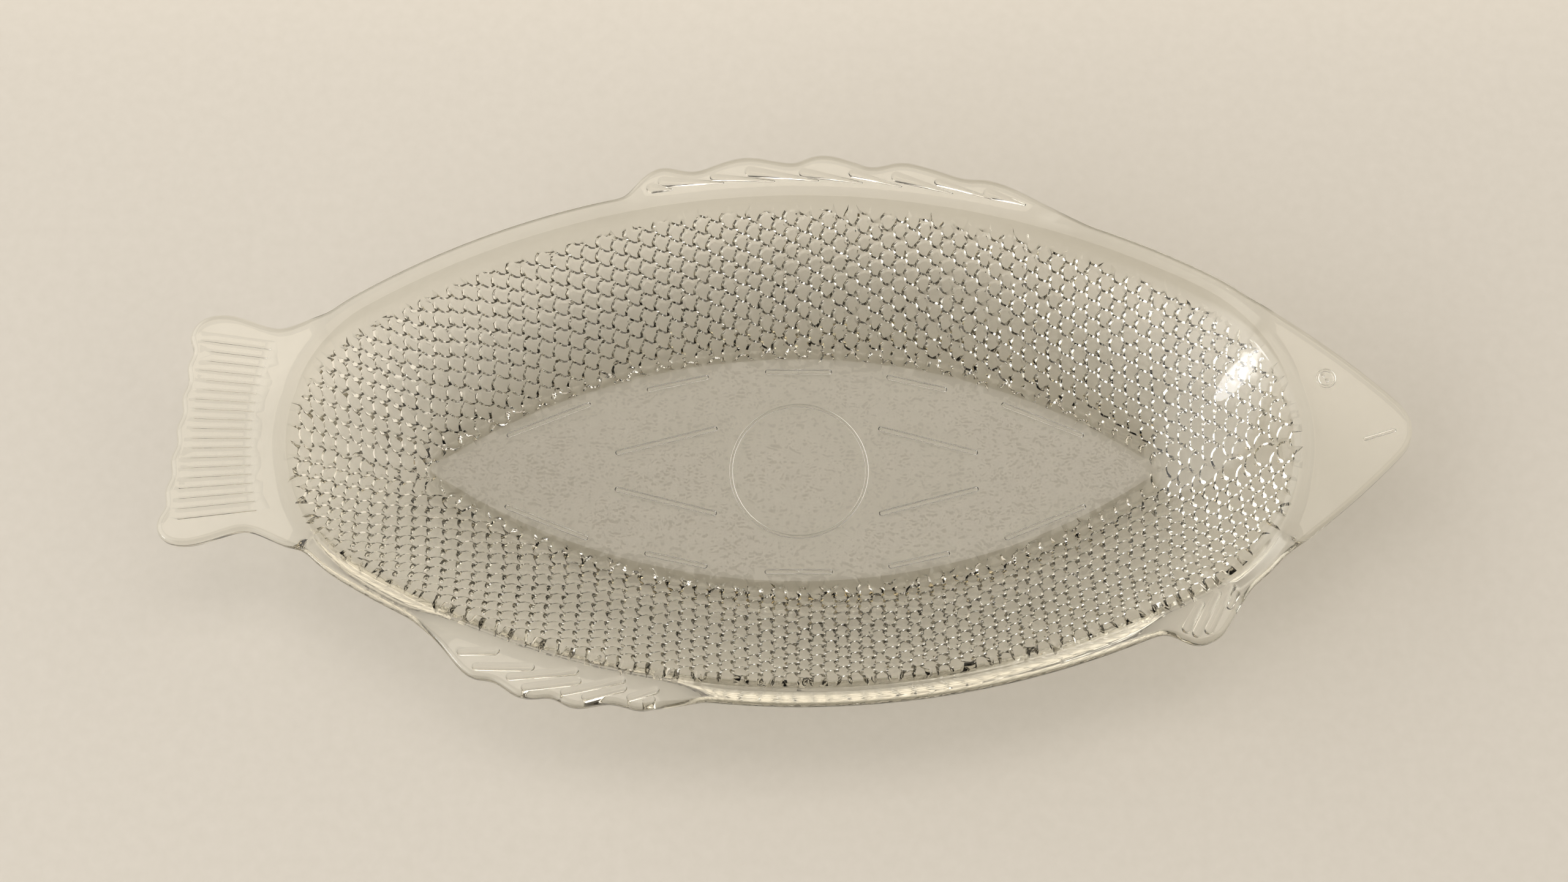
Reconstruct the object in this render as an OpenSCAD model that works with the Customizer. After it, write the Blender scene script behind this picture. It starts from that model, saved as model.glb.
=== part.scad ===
// Fish shaped serving dish, pressed in one piece from clear glass.
// Millimetres, +Z up, the head towards +X and the back fin towards +Y.
// The origin lies on the table, under the middle of the fish's outline.
// Each node is one named region of the pressing, and the regions meet face to face.

/* [Dish] */
// Height of the rim's top above the table
dish_h = 45; // [40:0.5:56]
// Thickness of the floor
floor_t = 4.2; // [3:0.1:6]
// Thickness of the wall, half way up
wall_t = 3; // [2.5:0.1:4.5]
// Thickness of the rim, the head and the fins
rim_t = 5; // [3.5:0.1:7]
// Width of the flat rim round the opening
rim_w = 5.2; // [4:0.1:8]

/* [Opening] */
// From the long axis to the side of the opening, at its widest place
opening_half_w = 82.2; // [78:0.1:88]
// From the widest place to the opening's end at the head
opening_head_l = 162; // [154:0.5:168]
// From the widest place to the opening's end at the tail
opening_tail_l = 166; // [156:0.5:172]
// Radius of the opening's end at the head
opening_head_r = 56; // [44:0.5:62]
// Radius of the opening's end at the tail
opening_tail_r = 50; // [40:0.5:58]
// Radius of the smooth lip between the rim and the wall
lip_r = 5; // [3:0.1:7]
// Slope of the wall just under the lip, in degrees
lip_slope = 55; // [50:1:60]
// Slope of the wall where it meets the floor, in degrees
foot_slope = 14; // [8:1:18]

/* [Floor] */
// From the long axis to the side of the floor, at its widest place
floor_half_w = 38.5; // [34:0.5:43]
// From the widest place to the floor's tip at the head
floor_head_l = 117; // [106:0.5:122]
// From the widest place to the floor's tip at the tail
floor_tail_l = 120; // [108:0.5:126]
// Radius of the floor's two tips
floor_tip_r = 5; // [3:0.5:9]
// Width of the level band under the foot of the wall, outside the floor's edge
foot_band_w = 4.7; // [2:0.1:6]
// Height of the bars that the dish stands on
rib_h = 0.8; // [0.4:0.1:2]
// Width of the bars that the dish stands on
rib_w = 1.8; // [1:0.1:3]
// Radius of the plain ring under the middle of the floor
ring_r = 23.2; // [18:0.2:25]
// Width of the plain ring
ring_w = 1; // [0.6:0.1:2]
// Height of the plain ring, lower than the bars
ring_h = 0.4; // [0.2:0.05:0.4]

/* [Head] */
// From the rim at the opening's end to the tip of the nose
head_l = 28.8; // [22:0.2:38]
// Radius of the blunt nose
nose_r = 12; // [6:0.5:18]
// Rise of the nose and the tail above the opening's axis
axis_lift = 2.6; // [0:0.1:5]
// From the rim at the opening's end to the middle of the eye
eye_gap = 2.3; // [1:0.1:5]
// From the opening's axis to the eye
eye_y = 20; // [14:0.5:21]
// Radius of the ring round the eye
eye_r = 3.2; // [2.4:0.1:4]
// Width of the ring round the eye
eye_ring_w = 0.8; // [0.5:0.1:1.2]
// Radius of each of the two dots in the eye
pupil_r = 0.7; // [0.4:0.05:0.8]
// Length of the mouth's line
mouth_l = 10; // [6:0.5:12]
// Width of the mouth's line
mouth_w = 1.2; // [0.8:0.1:2]
// Slope of the mouth's line, in degrees
mouth_tilt = 17; // [5:1:25]
// From the tip of the nose back to the front of the mouth
mouth_setback = 5.5; // [4:0.5:9]
// Height of the eye's and the mouth's relief under the head
mark_h = 0.5; // [0.3:0.1:1]

/* [Tail] */
// From the rim at the opening's end to the tail's neck
neck_gap = 1.8; // [0.5:0.1:6]
// Half the height of the neck
neck_half_h = 33.6; // [31:0.2:36]
// From the neck to the tail's scalloped edge
tail_l = 26.5; // [22:0.5:34]
// Half the height of the tail at its lobes
tail_half_h = 38.5; // [37:0.5:46]
// Lean of the tail's edge, its foot further back than its top, in degrees
tail_lean = 6.4; // [0:0.2:9]
// Depth of the scallops along the tail's edge
scallop_d = 2.2; // [1:0.1:3]
// Scallops between the tail's two lobes
scallop_count = 5; // [3:1:7]
// Rays under the tail
tail_ray_count = 18; // [8:1:20]

/* [Fins] */
// Height of the back fin above the rim
dorsal_h = 9.2; // [6:0.2:13]
// From the widest place back to the start of the back fin
dorsal_start = 57; // [50:1:64]
// Length of the back fin
dorsal_l = 152; // [130:1:160]
// Rays under the back fin
dorsal_ray_count = 10; // [6:1:12]
// Depth of the belly fin below the rim
anal_h = 10.9; // [7:0.2:14]
// From the widest place back to the start of the belly fin
anal_start = 122; // [112:1:126]
// Length of the belly fin
anal_l = 92; // [80:1:100]
// Rays under the belly fin
anal_ray_count = 8; // [5:1:10]
// Depth of the throat fin below the rim
throat_h = 9.8; // [6:0.2:13]
// From the widest place forward to the start of the throat fin
throat_start = 113; // [106:1:116]
// Length of the throat fin
throat_l = 29; // [24:0.5:30]
// Rays under the throat fin
throat_ray_count = 4; // [3:1:5]
// Width of the rays under the fins
ray_w = 1; // [0.6:0.1:1.2]
// Height of the rays under the fins
ray_h = 0.8; // [0.4:0.1:1.2]

/* [Hidden] */

// Stations round the dish, and points across the wall's inner face
stations = 96;
wall_steps = 8;
lip_steps = 3;
curve_steps = 4;
scallop_steps = 6;
$fn = 64;
// How far the stations crowd towards the long sides, in degrees
crowding = 17;

// Clear glass, a shade darker where the relief lies
glass_clear = [0.80, 0.81, 0.78];
glass_wall = [0.70, 0.71, 0.68];
glass_relief = [0.58, 0.57, 0.53];

floor_bottom = rib_h;
floor_top = rib_h + floor_t;
rim_bottom = dish_h - rim_t;
body_half_w = opening_half_w + rim_w;
nose_x = opening_head_l + rim_w + head_l;
eye_x = opening_head_l + rim_w + eye_gap;
neck_x = opening_tail_l + rim_w + neck_gap;
wall_run = opening_half_w - floor_half_w;
lip_run = lip_r * sin(lip_slope);
lip_drop = lip_r * (1 - cos(lip_slope));
wall_drop = dish_h - lip_drop - floor_top;
wall_slant = (wall_run - lip_run) / wall_drop;
// The wall's height is a straight part plus a power, so that both end slopes are as given
foot_share = tan(foot_slope) * wall_slant;
wall_power = (tan(lip_slope) * wall_slant - foot_share) / (1 - foot_share);

// Half the height of the scalloped edge, as a share of the tail's half height
edge_share = 0.67;
// Part of the belly fin's depth that reaches below the rim's widest place
belly_share = 0.11;
// Middle of the fish's outline, which the origin is put under
fish_mid = [
    (nose_x - neck_x - tail_l - tail_half_h * edge_share * tan(tail_lean)) / 2,
    (dorsal_h - anal_h * belly_share) / 2
];

// Places along and across each fin, as shares of its length and height
dorsal_shares = [
    [0, 0], [0.025, 0.45], [0.05, 0.78], [0.08, 0.92], [0.125, 0.66], [0.155, 0.57],
    [0.21, 0.83], [0.265, 0.96], [0.33, 0.74], [0.368, 0.66], [0.395, 0.9], [0.435, 1],
    [0.49, 0.8], [0.528, 0.6], [0.56, 0.74], [0.6, 0.93], [0.66, 0.82], [0.735, 0.62],
    [0.77, 0.75], [0.825, 0.7], [0.9, 0.36], [0.95, 0.15], [1, 0]
];
anal_shares = [
    [0, 0], [0.07, 0.22], [0.11, 0.4], [0.155, 0.72], [0.2, 0.93], [0.24, 0.9],
    [0.28, 0.78], [0.325, 0.88], [0.365, 1], [0.41, 0.95], [0.45, 0.82], [0.485, 0.7],
    [0.53, 0.83], [0.57, 0.84], [0.61, 0.72], [0.655, 0.55], [0.69, 0.46], [0.74, 0.49],
    [0.78, 0.53], [0.82, 0.43], [0.86, 0.32], [0.93, 0.18], [1, 0]
];
throat_shares = [
    [0, 0], [0.14, 0.24], [0.27, 0.64], [0.4, 0.92], [0.53, 1], [0.67, 0.96],
    [0.81, 0.54], [0.93, 0.14], [1, 0]
];
// How deep the fins' roots reach under the rim before the rim is cut away from them
root_share = 0.3;
// One lobe of the tail, from its last notch round to the neck and on to the body,
// along as shares of the tail's length and across as shares of its half height
lobe_shares = [
    [1.02, 0.76], [1.01, 0.87], [0.9, 0.965], [0.66, 1], [0.4, 0.965]
];
// Where the neck runs on into the rim, shares of the tail's length past the neck
neck_shares = [[-0.2, 0.03], [-0.5, 0.13], [-0.78, 0.2]];
// The four quarters' bars: both ends, as shares of the floor's length and half width
rib_shares = [
    [[0.26, 0.85], [0.42, 0.74]],
    [[0.59, 0.6], [0.81, 0.325]],
    [[0.235, 0.38], [0.505, 0.165]]
];
// The bars across the middle, half their length and their distance from the axis
middle_rib_shares = [0.088, 0.9];
// The two dots in the eye, from its middle, as shares of its radius
pupil_shares = [[-0.28, 0.3], [0.1, -0.2]];
// Ends of the fins' rays: how far across at the root and at the tip
ray_root_share = 0.08;
ray_tip_share = 0.42;
// Along each fin: the first and the last ray's tip, and how far on the root lies
dorsal_ray_shares = [0.07, 0.76, 0.13];
anal_ray_shares = [0.15, 0.66, 0.14];
throat_ray_shares = [0.32, 0.72, -0.12];
// The tail's rays: from the edge to past the neck, spread across at each end
tail_ray_ends_share = [0.86, 0.02];
tail_ray_spread_share = [0.84, 0.72];

// Radius of a long side that ends in a tip of radius tip_r at length l
function side_r(half_w, l, tip_r) =
    (half_w * half_w + (l - tip_r) * (l - tip_r) - tip_r * tip_r) / (2 * (half_w - tip_r));

// Point of a pointed oval where its outline faces the angle a
function oval_point(a, half_w, l, tip_r) =
    let (r = side_r(half_w, l, tip_r))
    abs(cos(a)) * (r - tip_r) >= l - tip_r
        ? [sign(cos(a)) * (l - tip_r) + tip_r * cos(a), tip_r * sin(a)]
        : [r * cos(a), r * sin(a) - sign(sin(a)) * (r - half_w)];

function opening_point(a, grow = 0) =
    cos(a) >= 0
        ? oval_point(a, opening_half_w + grow, opening_head_l + grow, opening_head_r + grow)
        : oval_point(a, opening_half_w + grow, opening_tail_l + grow, opening_tail_r + grow);

function floor_point(a) =
    oval_point(a, floor_half_w, cos(a) >= 0 ? floor_head_l : floor_tail_l, floor_tip_r);

// Angles that the outline faces at the stations, closer together along the long sides
function station_angle(i) =
    let (turn = 360 * i / stations)
    turn + crowding * sin(2 * turn);

angles = [for (i = [0 : stations - 1]) station_angle(i)];

// Half width of the rim's outer edge at x
function rim_edge(x) =
    let (r = rim_w + (x >= 0
        ? side_r(opening_half_w, opening_head_l, opening_head_r)
        : side_r(opening_half_w, opening_tail_l, opening_tail_r)))
    body_half_w - r + sqrt(r * r - x * x);

// Smooth line through points
function curve_point(a, b, c, d, t) =
    ((2 * b) + (c - a) * t + (2 * a - 5 * b + 4 * c - d) * t * t
        + (3 * b - a - 3 * c + d) * t * t * t) / 2;
function smooth_line(points) =
    let (last = len(points) - 1)
    [
        for (i = [0 : last - 1], k = [0 : curve_steps - 1])
            curve_point(points[max(i - 1, 0)], points[i], points[i + 1],
                points[min(i + 2, last)], k / curve_steps),
        points[last]
    ];

// Height of the wall's inner face, where rise goes from 0 at the floor to 1 at the lip
function wall_height(rise) =
    floor_top + wall_drop * (foot_share * rise + (1 - foot_share) * pow(rise, wall_power));
function wall_slope(rise) =
    atan((foot_share + (1 - foot_share) * wall_power * pow(rise, wall_power - 1)) / wall_slant);

// Outside, the wall climbs from the level band to the rim, and bellies out a little to keep its thickness
outside_run = wall_run - foot_band_w;
outside_drop = rim_bottom - floor_bottom;
half_way = (wall_run - outside_run / 2) / (wall_run - lip_run);
wall_belly = floor_bottom + outside_drop / 2 - wall_height(half_way)
    + wall_t / cos(wall_slope(half_way));

// The wall's cross section: distance in from the opening's edge, and height
wall_section = concat(
    [
        for (k = [0 : lip_steps - 1])
            let (turn = lip_slope * k / lip_steps)
            [lip_r * sin(turn), dish_h - lip_r * (1 - cos(turn))]
    ],
    [
        for (k = [0 : wall_steps])
            let (rise = 1 - k / wall_steps)
            [wall_run - (wall_run - lip_run) * rise, wall_height(rise)]
    ],
    [[wall_run, floor_bottom]],
    [
        for (k = [0 : wall_steps])
            let (up = k / wall_steps)
            [
                outside_run * (1 - up),
                floor_bottom + outside_drop * up - wall_belly * 4 * up * (1 - up)
            ]
    ]
);

// Puts the whole fish over the origin
module centred() {
    translate([-fish_mid.x, -fish_mid.y, 0]) children();
}

// A plate of the rim's thickness, its top level with the rim
module rim_plate() {
    translate([0, 0, rim_bottom]) linear_extrude(rim_t) children();
}

module opening_outline() {
    polygon([for (a = angles) opening_point(a)]);
}

module rim_outline() {
    polygon([for (a = angles) opening_point(a, rim_w)]);
}

// The head carries the body's two sides on to the nose, from where the opening's end turns
module head_outline() {
    root_x = opening_head_l - opening_head_r;
    side = [for (a = angles) if (cos(a) > 0) oval_point(a, body_half_w, nose_x, nose_r)];
    right = [for (p = side) if (p.x > root_x && p.y < 0) p];
    left = [for (p = side) if (p.x > root_x && p.y >= 0) p];
    polygon([
        for (p = concat(right, left)) [p.x, p.y + axis_lift * pow(p.x / nose_x, 2)]
    ]);
}

// A place on the tail, leaning with its edge
function tail_point(along, across) =
    [-neck_x - along + across * tan(tail_lean), across + axis_lift];

function tail_lobe(side) = [
    for (s = lobe_shares) tail_point(tail_l * s[0], side * tail_half_h * s[1])
];
function tail_neck(side) = concat(
    [tail_point(0, side * neck_half_h)],
    [for (s = neck_shares) tail_point(tail_l * s[0], side * neck_half_h * (1 + s[1]))]
);
function scallop_edge(k) =
    let (turn = k / (scallop_count * scallop_steps))
    tail_point(
        tail_l - scallop_d * (1 - abs(sin(180 * scallop_count * turn))),
        tail_half_h * edge_share * (1 - 2 * turn)
    );

module tail_outline() {
    upper = concat([scallop_edge(0)], tail_lobe(1), tail_neck(1));
    lower = concat(
        [scallop_edge(scallop_count * scallop_steps)], tail_lobe(-1), tail_neck(-1));
    edge = [for (k = [1 : scallop_count * scallop_steps - 1]) scallop_edge(k)];
    upper_line = smooth_line(upper);
    lower_line = smooth_line(lower);
    polygon(concat(
        [for (i = [len(upper_line) - 1 : -1 : 0]) upper_line[i]],
        edge,
        lower_line
    ));
}

// A place on a fin: along its length, and out from the rim's edge
function fin_point(side, start, length, height, u, v) =
    let (x = start + length * u)
    [x, side * (rim_edge(x) + height * v)];

module fin_outline(side, start, length, height, shares) {
    crest = smooth_line(
        [for (s = shares) fin_point(side, start, length, height, s[0], s[1])]);
    root = [
        for (i = [len(shares) - 1 : -1 : 0])
            fin_point(side, start, length, height, shares[i][0], -root_share)
    ];
    difference() {
        polygon(concat(crest, root));
        rim_outline();
        head_outline();
    }
}

// A raised line from p to q, hanging under a face at height z
module raised_line(p, q, z, width, height) {
    run = q - p;
    translate([p.x, p.y, z])
        rotate([0, 0, atan2(run.y, run.x)])
            rotate([90, 0, 90])
                linear_extrude(norm(run))
                    polygon([[-width / 2, 0], [width / 2, 0], [0, -height]]);
}

// Rays under a fin, leaning from the lobes' fronts down to the rim
module fin_rays(side, start, length, height, count, shares) {
    for (k = [0 : count - 1]) {
        u = shares[0] + (shares[1] - shares[0]) * k / (count - 1);
        raised_line(
            fin_point(side, start, length, height, u, ray_tip_share),
            fin_point(side, start, length, height, u + shares[2], ray_root_share),
            rim_bottom, ray_w, ray_h
        );
    }
}

module floor_panel() {
    color(glass_clear) centred()
        translate([0, 0, floor_bottom])
            linear_extrude(floor_t) polygon([for (a = angles) floor_point(a)]);
}

module scaled_wall() {
    across = len(wall_section);
    points = [
        for (a = angles, s = wall_section)
            let (
                edge = opening_point(a),
                inward = floor_point(a) - edge,
                place = edge + inward * (s[0] / wall_run)
            )
            [place.x, place.y, s[1]]
    ];
    quads = [
        for (i = [0 : stations - 1], k = [0 : across - 1])
            let (next_i = (i + 1) % stations, next_k = (k + 1) % across)
            [
                i * across + k, i * across + next_k,
                next_i * across + next_k, next_i * across + k
            ]
    ];
    faces = [for (q = quads) each [[q[0], q[1], q[2]], [q[0], q[2], q[3]]]];
    color(glass_wall) centred() polyhedron(points, faces);
}

module rim_flange() {
    color(glass_clear) centred() rim_plate() difference() {
        rim_outline();
        opening_outline();
    }
}

module head_plate() {
    color(glass_clear) centred() rim_plate() difference() {
        head_outline();
        rim_outline();
    }
}

module eye_ring() {
    color(glass_relief) centred()
        translate([eye_x, eye_y, rim_bottom - mark_h]) difference() {
            cylinder(h = mark_h, r = eye_r);
            translate([0, 0, -mark_h]) cylinder(h = 3 * mark_h, r = eye_r - eye_ring_w);
        }
}

module eye_pupils() {
    color(glass_relief) centred()
        for (s = pupil_shares)
            translate([eye_x + eye_r * s[0], eye_y + eye_r * s[1], rim_bottom - mark_h])
                cylinder(h = mark_h, r = pupil_r);
}

module mouth_line() {
    front = [nose_x - mouth_setback, axis_lift];
    back = front - mouth_l * [cos(mouth_tilt), sin(mouth_tilt)];
    color(glass_relief) centred() raised_line(back, front, rim_bottom, mouth_w, mark_h);
}

module tail_fin() {
    color(glass_clear) centred() rim_plate() difference() {
        tail_outline();
        rim_outline();
    }
}

module tail_rays() {
    color(glass_relief) centred()
        for (k = [0 : tail_ray_count - 1]) {
            place = 2 * k / (tail_ray_count - 1) - 1;
            raised_line(
                tail_point(tail_l * tail_ray_ends_share[0],
                    place * tail_half_h * tail_ray_spread_share[0]),
                tail_point(tail_l * tail_ray_ends_share[1],
                    place * tail_half_h * tail_ray_spread_share[1]),
                rim_bottom, ray_w, ray_h
            );
        }
}

module dorsal_fin() {
    color(glass_clear) centred() rim_plate()
        fin_outline(1, -dorsal_start, dorsal_l, dorsal_h, dorsal_shares);
}

module dorsal_rays() {
    color(glass_relief) centred()
        fin_rays(1, -dorsal_start, dorsal_l, dorsal_h, dorsal_ray_count, dorsal_ray_shares);
}

module anal_fin() {
    color(glass_clear) centred() rim_plate()
        fin_outline(-1, -anal_start, anal_l, anal_h, anal_shares);
}

module anal_rays() {
    color(glass_relief) centred()
        fin_rays(-1, -anal_start, anal_l, anal_h, anal_ray_count, anal_ray_shares);
}

module throat_fin() {
    color(glass_clear) centred() rim_plate()
        fin_outline(-1, throat_start, throat_l, throat_h, throat_shares);
}

module throat_rays() {
    color(glass_relief) centred()
        fin_rays(-1, throat_start, throat_l, throat_h, throat_ray_count, throat_ray_shares);
}

// The bars under the floor, whose flat feet are what the dish stands on
module foot_bar(p, q) {
    run = q - p;
    translate([p.x, p.y, 0])
        rotate([0, 0, atan2(run.y, run.x)])
            translate([0, -rib_w / 2, 0])
                cube([norm(run), rib_w, rib_h]);
}

module foot_ribs() {
    color(glass_relief) centred() {
        for (end = [-1, 1], side = [-1, 1], bar = rib_shares) {
            l = end > 0 ? floor_head_l : floor_tail_l;
            foot_bar(
                [end * l * bar[0][0], side * floor_half_w * bar[0][1]],
                [end * l * bar[1][0], side * floor_half_w * bar[1][1]]
            );
        }
        for (side = [-1, 1]) {
            y = side * floor_half_w * middle_rib_shares[1];
            foot_bar(
                [-floor_tail_l * middle_rib_shares[0], y],
                [floor_head_l * middle_rib_shares[0], y]
            );
        }
    }
}

module base_ring() {
    color(glass_relief) centred()
        translate([0, 0, floor_bottom - ring_h]) difference() {
            cylinder(h = ring_h, r = ring_r);
            translate([0, 0, -ring_h]) cylinder(h = 3 * ring_h, r = ring_r - ring_w);
        }
}

floor_panel();
scaled_wall();
rim_flange();
head_plate();
eye_ring();
eye_pupils();
mouth_line();
tail_fin();
tail_rays();
dorsal_fin();
dorsal_rays();
anal_fin();
anal_rays();
throat_fin();
throat_rays();
foot_ribs();
base_ring();
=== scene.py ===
# %% [markdown]
# # A fish shaped dish of clear pressed glass
# The dish is one pressing. Hot glass was squeezed between a smooth plunger, which made the inside and the
# flat top, and a carved mould, which made the scales, the fins' rays and the foot bars underneath.
# Separate pieces that touch would show as seams inside clear glass, so the whole dish is one closed mesh
# that stands for every region of the CAD model. All sizes below are in millimetres, and the mesh is
# scaled to metres at the end.

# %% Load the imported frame
import math

import bmesh
import bpy
import numpy as np
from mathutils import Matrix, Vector, kdtree
from mathutils.geometry import delaunay_2d_cdt


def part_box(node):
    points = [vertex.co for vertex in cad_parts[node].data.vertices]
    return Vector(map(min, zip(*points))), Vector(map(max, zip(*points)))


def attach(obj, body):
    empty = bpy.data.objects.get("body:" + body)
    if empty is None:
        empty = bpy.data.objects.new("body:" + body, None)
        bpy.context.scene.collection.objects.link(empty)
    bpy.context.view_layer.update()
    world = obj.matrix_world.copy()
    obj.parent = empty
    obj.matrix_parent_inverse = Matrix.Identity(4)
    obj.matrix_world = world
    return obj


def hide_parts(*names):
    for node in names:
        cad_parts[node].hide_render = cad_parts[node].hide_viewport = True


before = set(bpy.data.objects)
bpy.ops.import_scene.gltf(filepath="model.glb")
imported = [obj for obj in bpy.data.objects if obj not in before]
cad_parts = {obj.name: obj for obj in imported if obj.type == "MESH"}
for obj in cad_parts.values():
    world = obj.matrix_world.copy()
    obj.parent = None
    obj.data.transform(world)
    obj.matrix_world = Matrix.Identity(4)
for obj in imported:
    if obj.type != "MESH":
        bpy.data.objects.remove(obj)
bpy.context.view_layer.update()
MM = 0.001
rng = np.random.default_rng(7)

# %% [markdown]
# ## Sizes
# The boxes of the CAD nodes give the reach of every region. What a box can't say, such as the radius of
# the opening's ends, is repeated here by name. Plan positions are counted from the middle of the oval,
# which lies over the middle of the base ring.

# %% Read the sizes from the frame
def corners(node):
    """Lowest and highest corner of a CAD node, in millimetres."""
    return [np.array(corner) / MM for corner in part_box(node)]


def reach(node):
    """Half width of a node, and its lengths towards the head and towards the tail."""
    low, high = corners(node)
    return (high[1] - low[1]) / 2, (high[0] - middle[0], middle[0] - low[0])


middle = sum(corners("base_ring"))[:2] / 2
opening_half_w, opening_l = reach("scaled_wall")
floor_half_w, floor_l = reach("floor_panel")
rim_half_w = reach("rim_flange")[0]
dish_h = corners("rim_flange")[1][2]
rim_bottom = corners("rim_flange")[0][2]
floor_bottom, floor_top = (corner[2] for corner in corners("floor_panel"))
ring_bottom = corners("base_ring")[0][2]
rim_w = rim_half_w - opening_half_w
wall_run = opening_half_w - floor_half_w

opening_tip_r = (56, 50)
floor_tip_r = (5, 5)
lip_r = 5
lip_slope = math.radians(55)
foot_slope = math.radians(14)
wall_t = 3.0
foot_band_w = 4.7
rim_under_slope = math.radians(36)
print(f"opening {sum(opening_l):.1f} x {2 * opening_half_w:.1f}, rim {rim_w:.1f} wide, {dish_h:.1f} high")

# %% [markdown]
# ## The oval
# The opening and the floor are pointed ovals: two large arcs, with a small arc at each end. A point of
# such an oval is found from the direction that its outline faces. That makes rings easy: points of the
# opening and of the floor that face the same way are joined by straight lines, and the wall runs along
# those lines.

# %% Describe the ovals and the share of the way down the wall
def headings(angles):
    """Directions in plan for the given angles."""
    return np.stack([np.cos(angles), np.sin(angles)], axis=1)


def unit(rows):
    """Arrows brought to a length of one."""
    return rows / np.linalg.norm(rows, axis=1)[:, None]


def oval(facing, half_w, lengths, tip_radii):
    """Points of a pointed oval where its outline faces the given angles."""
    cos, sin = np.cos(facing), np.sin(facing)
    length = np.where(cos >= 0, lengths[0], lengths[1])
    tip_r = np.where(cos >= 0, tip_radii[0], tip_radii[1])
    side_r = (half_w**2 + (length - tip_r) ** 2 - tip_r**2) / (2 * (half_w - tip_r))
    on_tip = np.abs(cos) * (side_r - tip_r) >= length - tip_r
    x = np.where(on_tip, np.sign(cos) * (length - tip_r) + tip_r * cos, side_r * cos)
    y = np.where(on_tip, tip_r * sin, side_r * sin - np.sign(sin) * (side_r - half_w))
    return np.stack([x, y], axis=1)


def opening(facing, grow=0.0):
    """The opening's edge, or an oval that runs round it at a distance."""
    lengths = [length + grow for length in opening_l]
    return oval(facing, opening_half_w + grow, lengths, [r + grow for r in opening_tip_r])


def floor_edge(facing):
    return oval(facing, floor_half_w, floor_l, floor_tip_r)


def down_wall(facing, d):
    """A line round the wall, at a distance in from the opening's edge."""
    return opening(facing) + (floor_edge(facing) - opening(facing)) * d / wall_run


directions = np.linspace(0, 2 * np.pi, 720, endpoint=False)
outward = headings(directions)
opening_reach = (opening(directions) * outward).sum(axis=1)
floor_reach = (floor_edge(directions) * outward).sum(axis=1)


def wall_place(plan):
    """How far down the wall points lie, from 0 at the opening to 1 at the floor, and where round it."""
    shares, rounds = np.empty(len(plan)), np.empty(len(plan))
    for start in range(0, len(plan), 4096):
        part = plan[start : start + 4096]
        seen = (opening_reach - part @ outward.T) / (opening_reach - floor_reach)
        best = seen.argmin(axis=1)
        row = np.arange(len(part))
        before, here, after = (seen[row, (best + step) % len(directions)] for step in (-1, 0, 1))
        bend = np.maximum(before + after - 2 * here, 1e-12)
        shares[start : start + 4096] = here - (before - after) ** 2 / (8 * bend)
        rounds[start : start + 4096] = best + np.clip((before - after) / (2 * bend), -0.5, 0.5)
    return shares, rounds


def share_in(plan):
    return wall_place(plan)[0]


print("share at the middle of the floor:", share_in(np.zeros((1, 2)))[0].round(2))

# %% [markdown]
# ## The wall's section
# The plunger leaves a small rounded lip under the rim and then one long curve down to the floor, steep
# above and nearly level below. The mould's side is plainer: a level band under the foot, a sharp corner,
# and a nearly straight climb, which goes on under the plain rim and turns level under the head, tail and
# fins. Both are height curves over the distance in from the opening's edge, so they can be read off for
# any point.

# %% Make the height curves of the inside and the outside
crease_slope = math.radians(9)
lip_run = lip_r * math.sin(lip_slope)
lip_drop = lip_r * (1 - math.cos(lip_slope))
wall_drop = dish_h - lip_drop - floor_top
slant = (wall_run - lip_run) / wall_drop
foot_share = math.tan(foot_slope) * slant
wall_power = (math.tan(lip_slope) * slant - foot_share) / (1 - foot_share)
spare = 20

rise = np.linspace(1, 0, 120)
inner_d = wall_run - (wall_run - lip_run) * rise
inner_z = floor_top + wall_drop * (foot_share * rise + (1 - foot_share) * rise**wall_power)
lip_d = np.linspace(0, lip_run, 40)[:-1]
lip_gain = math.tan(lip_slope) - math.tan(crease_slope)
lip_power = lip_gain * lip_run / (lip_drop - math.tan(crease_slope) * lip_run) - 1
lip_z = dish_h - math.tan(crease_slope) * lip_d
lip_z -= lip_gain * lip_run / (lip_power + 1) * (lip_d / lip_run) ** (lip_power + 1)

foot_fall = spare * math.tan(foot_slope)
inside_d = np.concatenate([lip_d, inner_d, [wall_run + spare]])
inside_z = np.concatenate([lip_z, inner_z, [floor_top - foot_fall]])
outside_run = wall_run - foot_band_w
half_d = outside_run / 2 + np.array([-0.1, 0, 0.1])
half_z = np.interp(half_d, inside_d, inside_z)
half_slope = (half_z[0] - half_z[2]) / (half_d[2] - half_d[0])
belly = (floor_bottom + rim_bottom) / 2 - half_z[1] + wall_t * math.hypot(1, half_slope)
rim_bend_d = 2.0


def smooth_max(a, b, reach_mm):
    """The larger of two heights, with the corner between them rounded."""
    near = np.maximum(reach_mm - np.abs(a - b), 0) / reach_mm
    return np.maximum(a, b) + near * near * reach_mm / 4


def inside_height(d):
    return smooth_max(np.interp(d, inside_d, inside_z), floor_top, 1.2)


def climb_height(d):
    up = 1 - d / outside_run
    return floor_bottom + (rim_bottom - floor_bottom) * up - belly * 4 * up * np.clip(1 - up, 0, 1)


def outside_height(d, plate):
    """Height of the underside. Plate is 0 at the plain rim and 1 where a plate goes on outside it."""
    under_rim = climb_height(rim_bend_d) + (rim_bend_d - d) * math.tan(rim_under_slope)
    climb = -smooth_max(-climb_height(d), -under_rim, 1.5)
    climb = -smooth_max(-smooth_max(climb, floor_bottom, 0.3), -(dish_h - 2.1), 0.8)
    level = -smooth_max(-climb, -rim_bottom, 3.0)
    return climb + (level - climb) * plate


print(f"wall outside: {outside_height(0, 0):.1f} high under the opening's edge, belly {belly:.2f}")

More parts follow.
